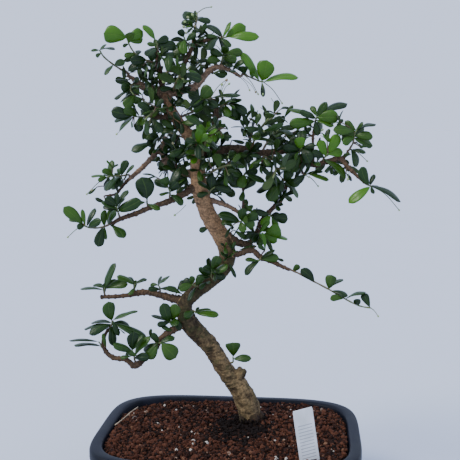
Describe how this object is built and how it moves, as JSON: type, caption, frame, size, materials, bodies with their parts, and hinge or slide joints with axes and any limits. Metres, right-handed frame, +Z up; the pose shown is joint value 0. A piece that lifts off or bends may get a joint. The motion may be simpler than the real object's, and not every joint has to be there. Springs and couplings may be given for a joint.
{
  "type": "bonsai tree",
  "caption": "Fukien tea bonsai with an S-shaped trunk, leafy shoots on bare limbs, standing in a filled rectangular pot with a plain plant label",
  "frame": {"origin": "centre of the pot's flat underside, on the surface it stands on", "axes": "+Z up, -Y towards the tree's front, which the picture shows, +X to the viewer's right"},
  "size_m": [0.3256, 0.202, 0.4915],
  "materials": {
    "pot": "satin",
    "soil": "rough",
    "label": "satin",
    "wood": "rough bark",
    "leaves": "glossy leaf"
  },
  "bodies": {
    "root": {"label": "label", "pot": "pot", "soil": "soil", "spray_back_crown": "leaves", "spray_back_inner": "leaves", "spray_back_left": "leaves", "spray_back_mid": "leaves", "spray_back_right": "leaves", "spray_back_top": "leaves", "spray_bright_left": "leaves", "spray_bright_right": "leaves", "spray_crown_right_a": "leaves", "spray_crown_right_b": "leaves", "spray_crown_right_c": "leaves", "spray_crown_right_d": "leaves", "spray_crown_right_e": "leaves", "spray_crown_right_tip": "leaves", "spray_foot": "leaves", "spray_fork_tip": "leaves", "spray_front_crown": "leaves", "spray_front_inner": "leaves", "spray_front_low": "leaves", "spray_front_mid": "leaves", "spray_front_right": "leaves", "spray_front_top": "leaves", "spray_inner_right": "leaves", "spray_inner_top": "leaves", "spray_left_inner": "leaves", "spray_left_low": "leaves", "spray_left_mid": "leaves", "spray_left_tip": "leaves", "spray_low_drop_mid": "leaves", "spray_low_drop_near": "leaves", "spray_low_drop_side": "leaves", "spray_low_drop_tip": "leaves", "spray_low_flat_mid": "leaves", "spray_low_flat_root": "leaves", "spray_low_flat_tip": "leaves", "spray_mid_left_big": "leaves", "spray_mid_left_inner": "leaves", "spray_mid_left_tip": "leaves", "spray_mid_left_upper": "leaves", "spray_right_low": "leaves", "spray_right_low_near": "leaves", "spray_right_mid": "leaves", "spray_right_mid_tip": "leaves", "spray_right_mid_upper": "leaves", "spray_right_twig": "leaves", "spray_top": "leaves", "spray_top_middle": "leaves", "spray_top_right_tip": "leaves", "spray_top_right_up": "leaves", "spray_top_side": "leaves", "spray_trunk_left": "leaves", "spray_trunk_moss": "leaves", "spray_trunk_moss_low": "leaves", "spray_trunk_right": "leaves", "spray_trunk_side": "leaves", "spray_upright": "leaves", "trunk": "wood"}
  },
  "joints": []
}
